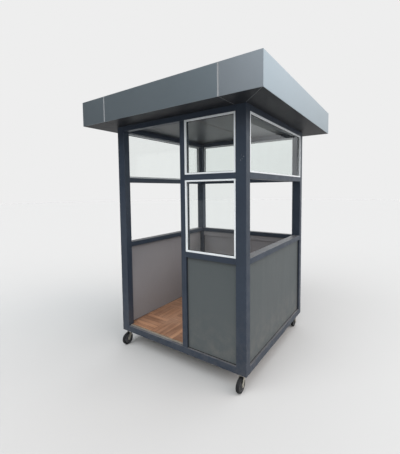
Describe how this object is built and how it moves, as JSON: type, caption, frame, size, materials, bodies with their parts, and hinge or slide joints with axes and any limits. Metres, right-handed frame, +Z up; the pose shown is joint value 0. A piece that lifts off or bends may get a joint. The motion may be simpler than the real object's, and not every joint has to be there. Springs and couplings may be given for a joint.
{
  "type": "security guard booth",
  "caption": "Small square guard booth on swivel castors: post-and-rail frame, flat lower panels, white-framed fixed windows, open doorway and a deep flat roof.",
  "frame": {"origin": "on the ground, under the middle of the roof and of the square wall frame", "axes": "+Z up, front with the doorway towards -Y, +X to the right as seen from the front"},
  "size_m": [1.98, 1.98, 2.5803],
  "materials": {
    "frame_paint": "dark blue-grey semi-gloss paint",
    "panel_skin": "mid grey smooth satin panel skin",
    "window_white": "white satin coating",
    "window_glass": "clear float glass",
    "floor_wood": "brown timber-look parquet, satin",
    "floor_core": "raw plywood",
    "threshold_trim": "champagne satin",
    "ceiling_sheet": "dark grey semi-gloss composite sheet",
    "fascia_sheet": "grey metallic composite sheet",
    "roof_zinc": "galvanised",
    "castor_zinc": "zinc plated",
    "wheel_rubber": "black, lightly worn"
  },
  "bodies": {
    "booth": {"post_front_left": "frame_paint", "post_front_right": "frame_paint", "post_back_left": "frame_paint", "post_back_right": "frame_paint", "door_post": "frame_paint", "base_rail_front": "frame_paint", "base_rail_right": "frame_paint", "base_rail_back": "frame_paint", "base_rail_left": "frame_paint", "sill_rail_front": "frame_paint", "sill_rail_right": "frame_paint", "sill_rail_back": "frame_paint", "sill_rail_left": "frame_paint", "mid_rails": "frame_paint", "top_rails": "frame_paint", "lower_panel_front": "panel_skin", "lower_panel_right": "panel_skin", "lower_panel_back": "panel_skin", "lower_panel_left": "panel_skin", "back_wall_batten": "panel_skin", "window_frame_front_lower": "window_white", "window_frame_front_upper": "window_white", "window_frame_right": "window_white", "window_frame_back": "window_white", "window_frame_left": "window_white", "window_glass": "window_glass", "floor_board": "floor_core", "floor_covering": "floor_wood", "floor_joists": "frame_paint", "threshold_strip": "threshold_trim", "ceiling_board": "ceiling_sheet", "soffit_boards": "ceiling_sheet", "fascia_front": "fascia_sheet", "fascia_right": "fascia_sheet", "fascia_back": "fascia_sheet", "fascia_left": "fascia_sheet", "roof_edge_beams": "roof_zinc", "roof_joists": "roof_zinc", "roof_sheet": "roof_zinc", "castor_plates": "castor_zinc"},
    "castor_front_left": {"castor_fork_front_left": "castor_zinc"},
    "wheel_front_left": {"castor_wheel_front_left": "wheel_rubber"},
    "castor_front_right": {"castor_fork_front_right": "castor_zinc"},
    "wheel_front_right": {"castor_wheel_front_right": "wheel_rubber"},
    "castor_back_left": {"castor_fork_back_left": "castor_zinc"},
    "wheel_back_left": {"castor_wheel_back_left": "wheel_rubber"},
    "castor_back_right": {"castor_fork_back_right": "castor_zinc"},
    "wheel_back_right": {"castor_wheel_back_right": "wheel_rubber"}
  },
  "joints": [
    {"name": "swivel_front_left", "type": "hinge", "parent": "booth", "child": "castor_front_left", "pos_m": [-0.6905, -0.7005, 0.1503], "axis": [0, 0, 1], "continuous": true},
    {"name": "roll_front_left", "type": "hinge", "parent": "castor_front_left", "child": "wheel_front_left", "pos_m": [-0.6905, -0.7405, 0.0625], "axis": [1, 0, 0], "continuous": true},
    {"name": "swivel_front_right", "type": "hinge", "parent": "booth", "child": "castor_front_right", "pos_m": [0.6905, -0.7005, 0.1503], "axis": [0, 0, 1], "continuous": true},
    {"name": "roll_front_right", "type": "hinge", "parent": "castor_front_right", "child": "wheel_front_right", "pos_m": [0.6905, -0.7405, 0.0625], "axis": [1, 0, 0], "continuous": true},
    {"name": "swivel_back_left", "type": "hinge", "parent": "booth", "child": "castor_back_left", "pos_m": [-0.6905, 0.7005, 0.1503], "axis": [0, 0, 1], "continuous": true},
    {"name": "roll_back_left", "type": "hinge", "parent": "castor_back_left", "child": "wheel_back_left", "pos_m": [-0.6905, 0.6605, 0.0625], "axis": [1, 0, 0], "continuous": true},
    {"name": "swivel_back_right", "type": "hinge", "parent": "booth", "child": "castor_back_right", "pos_m": [0.6905, 0.7005, 0.1503], "axis": [0, 0, 1], "continuous": true},
    {"name": "roll_back_right", "type": "hinge", "parent": "castor_back_right", "child": "wheel_back_right", "pos_m": [0.6905, 0.6605, 0.0625], "axis": [1, 0, 0], "continuous": true}
  ]
}
